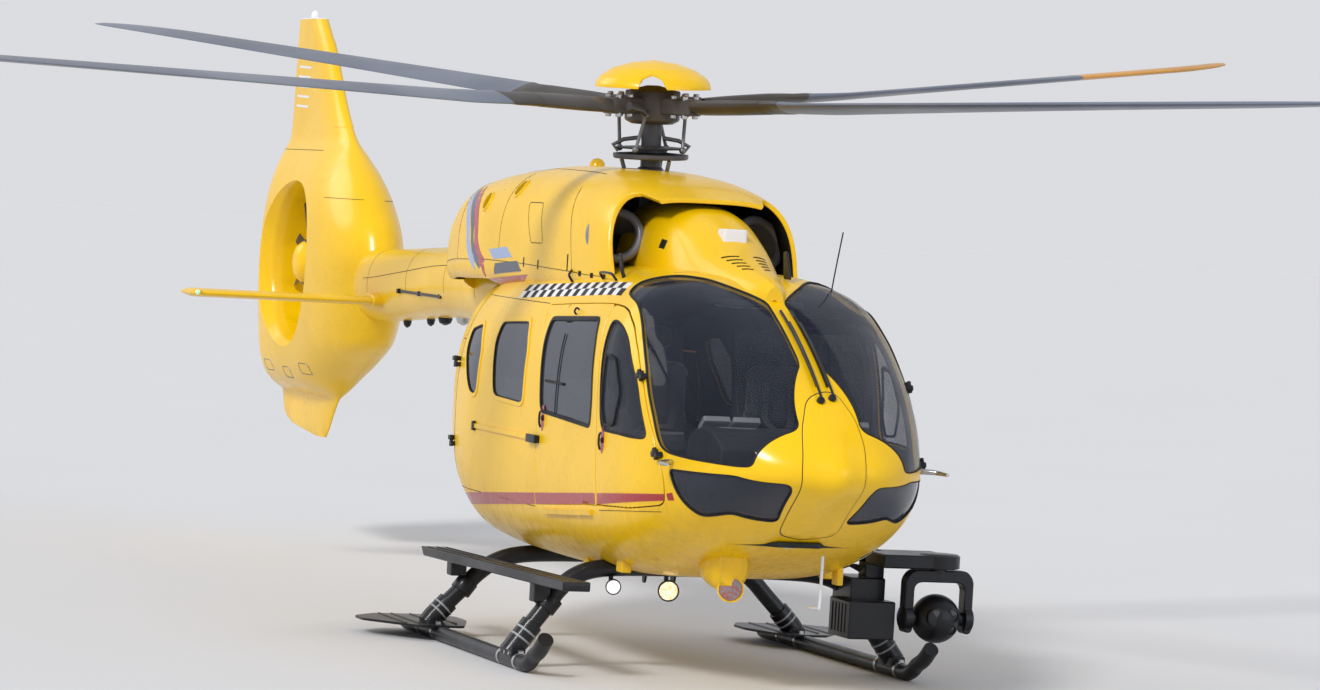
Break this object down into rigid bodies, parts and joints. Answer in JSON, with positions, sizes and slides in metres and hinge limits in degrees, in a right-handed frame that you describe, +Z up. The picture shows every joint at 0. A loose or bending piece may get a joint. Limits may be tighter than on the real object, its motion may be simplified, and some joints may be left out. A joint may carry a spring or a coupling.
{
  "type": "light twin-engine helicopter",
  "caption": "Light rescue helicopter parked on skids, with a turning main rotor and shrouded tail fan, hinged cockpit and rear doors, boarding step and camera turret.",
  "frame": {"origin": "on the ground under the middle of the bounding box", "axes": "+X to the nose, +Y to port, +Z up"},
  "size_m": [13.1709, 9.9896, 3.975],
  "materials": {
    "yellow_paint": "gloss",
    "black_metal": "satin",
    "rotor_grey": "satin",
    "hub_metal": "satin",
    "cabin_dark": "matte",
    "seat_fabric": "matte",
    "engine_metal": "matte",
    "window": "gloss"
  },
  "bodies": {
    "airframe": {"nose_shell": "yellow_paint", "roof_shell": "yellow_paint", "belly_shell": "yellow_paint", "rear_fairing": "yellow_paint", "side_wall_right": "yellow_paint", "side_wall_left": "yellow_paint", "sliding_door_right": "yellow_paint", "sliding_door_left": "yellow_paint", "cowling": "yellow_paint", "front_fairing": "yellow_paint", "tail_boom": "yellow_paint", "tail_fin": "yellow_paint", "stabiliser": "yellow_paint", "fan_support": "yellow_paint", "windshield_right": "window", "windshield_left": "window", "chin_window_right": "window", "chin_window_left": "window", "side_window_right": "window", "side_window_left": "window", "aft_window_right": "window", "aft_window_left": "window", "sliding_window_right": "window", "sliding_window_left": "window", "cross_tube_front": "black_metal", "cross_tube_rear": "black_metal", "skid_right": "black_metal", "skid_left": "black_metal", "step_right": "black_metal", "gimbal_carrier": "black_metal", "cabin_floor": "cabin_dark", "instrument_panel": "cabin_dark", "pilot_seat_right": "seat_fabric", "pilot_seat_left": "seat_fabric", "rear_seat": "seat_fabric", "gearbox": "engine_metal", "engine_right": "engine_metal", "engine_left": "engine_metal", "fuel_tank": "engine_metal"},
    "main_rotor": {"mast": "hub_metal", "rotor_hub": "hub_metal", "blade_1": "rotor_grey", "blade_2": "rotor_grey", "blade_3": "rotor_grey", "blade_4": "rotor_grey"},
    "tail_fan": {"tail_fan": "hub_metal"},
    "pilot_door_right": {"pilot_door_right": "yellow_paint", "pilot_window_right": "window"},
    "pilot_door_left": {"pilot_door_left": "yellow_paint", "pilot_window_left": "window"},
    "clamshell_right": {"clamshell_right": "yellow_paint", "clamshell_window_right": "window"},
    "clamshell_left": {"clamshell_left": "yellow_paint", "clamshell_window_left": "window"},
    "gimbal_yoke": {"gimbal_yoke": "black_metal"},
    "gimbal_ball": {"gimbal_ball": "black_metal"}
  },
  "joints": [
    {"name": "main_rotor_spin", "type": "hinge", "parent": "airframe", "child": "main_rotor", "pos_m": [1.5746, 0.0116, 3.325], "axis": [0.0453, -0.0401, 0.9982], "continuous": true},
    {"name": "tail_fan_spin", "type": "hinge", "parent": "airframe", "child": "tail_fan", "pos_m": [-5.6734, 0.0116, 2.121], "axis": [0, 1, 0], "continuous": true},
    {"name": "pilot_door_right_hinge", "type": "hinge", "parent": "airframe", "child": "pilot_door_right", "pos_m": [4.2376, -0.7954, 1.336], "axis": [-0.5635, -0.0254, 0.8257], "range_deg": [0, 75]},
    {"name": "pilot_door_left_hinge", "type": "hinge", "parent": "airframe", "child": "pilot_door_left", "pos_m": [4.2376, 0.8186, 1.336], "axis": [0.5635, -0.0254, -0.8257], "range_deg": [0, 75]},
    {"name": "clamshell_right_hinge", "type": "hinge", "parent": "airframe", "child": "clamshell_right", "pos_m": [0.5556, -0.8384, 1.16], "axis": [0, 0, 1], "range_deg": [0, 90]},
    {"name": "clamshell_left_hinge", "type": "hinge", "parent": "airframe", "child": "clamshell_left", "pos_m": [0.5556, 0.8616, 1.16], "axis": [0, 0, -1], "range_deg": [0, 90]},
    {"name": "gimbal_pan", "type": "hinge", "parent": "airframe", "child": "gimbal_yoke", "pos_m": [3.4446, 1.2966, 0.385], "axis": [0, 0, 1], "continuous": true},
    {"name": "gimbal_tilt", "type": "hinge", "parent": "gimbal_yoke", "child": "gimbal_ball", "pos_m": [3.4446, 1.2966, 0.385], "axis": [0, 1, 0], "range_deg": [-30, 115]}
  ]
}
